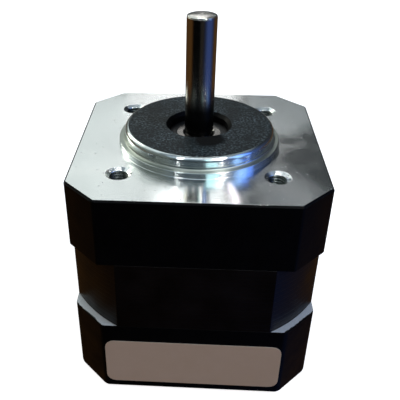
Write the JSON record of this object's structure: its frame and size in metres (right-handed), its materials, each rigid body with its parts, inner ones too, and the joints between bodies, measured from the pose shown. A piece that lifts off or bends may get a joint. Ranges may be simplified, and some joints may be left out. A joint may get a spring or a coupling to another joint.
{
  "type": "brushless dc motor",
  "caption": "Square-frame brushless DC motor with a machined mounting face, a stepped pilot boss, tapped face holes and a plain round output shaft.",
  "frame": {"origin": "centre of the front mounting face, where the shaft axis crosses it", "axes": "+Z along the shaft, out of the mounting face; -Y is the side with the label, +Y is the side with the cable exit"},
  "size_m": [0.0424, 0.0434, 0.0632],
  "materials": {
    "cap_front": "machined aluminium face and boss flanks, satin; sides and boss top painted black",
    "cap_rear": "black painted die-cast aluminium, satin; bare machined corner ledges",
    "laminations": "brown-black lacquered edges of silicon steel laminations",
    "nylon": "natural glass-filled nylon",
    "copper": "enamelled copper wire, packed winding",
    "circuit_board": "solder-masked glass epoxy board",
    "sensor_resin": "moulded epoxy",
    "zinc_screws": "zinc plated steel",
    "spring_steel": "bright spring steel",
    "grommet_rubber": "moulded black rubber",
    "label_film": "white polyester film, semi-gloss",
    "shaft_steel": "ground hardened steel",
    "rotor_steel": "turned steel",
    "magnet": "nickel plated sintered magnet",
    "bearing_steel": "polished bearing steel",
    "seal_rubber": "black moulded nitrile rubber",
    "cage_nylon": "moulded nylon"
  },
  "bodies": {
    "motor_body": {"front_cap": "cap_front", "rear_cap": "cap_rear", "stator_core": "laminations", "front_insulator": "nylon", "rear_insulator": "nylon", "phase_a_coils": "copper", "phase_b_coils": "copper", "phase_c_coils": "copper", "hall_board": "circuit_board", "hall_sensors": "sensor_resin", "board_screws": "zinc_screws", "through_screws": "zinc_screws", "wave_washer": "spring_steel", "cable_grommet": "grommet_rubber", "label_plate": "label_film", "front_bearing_outer_ring": "bearing_steel", "front_bearing_seals": "seal_rubber", "rear_bearing_outer_ring": "bearing_steel", "rear_bearing_seals": "seal_rubber"},
    "rotor": {"shaft": "shaft_steel", "rotor_core": "rotor_steel", "north_magnets": "magnet", "south_magnets": "magnet", "front_bearing_inner_ring": "bearing_steel", "rear_bearing_inner_ring": "bearing_steel"},
    "front_cage": {"front_bearing_balls": "bearing_steel", "front_bearing_cage": "cage_nylon"},
    "rear_cage": {"rear_bearing_balls": "bearing_steel", "rear_bearing_cage": "cage_nylon"}
  },
  "joints": [
    {"name": "rotor_spin", "type": "hinge", "parent": "motor_body", "child": "rotor", "pos_m": [0, 0, 0], "axis": [0, 0, 1], "continuous": true},
    {"name": "front_cage_spin", "type": "hinge", "parent": "motor_body", "child": "front_cage", "pos_m": [0, 0, -0.001], "axis": [0, 0, 1], "continuous": true},
    {"name": "rear_cage_spin", "type": "hinge", "parent": "motor_body", "child": "rear_cage", "pos_m": [0, 0, -0.0357], "axis": [0, 0, 1], "continuous": true}
  ],
  "couplings": [
    {"joint": "front_cage_spin", "follows": "rotor_spin", "ratio": 0.36905},
    {"joint": "rear_cage_spin", "follows": "rotor_spin", "ratio": 0.36905}
  ]
}
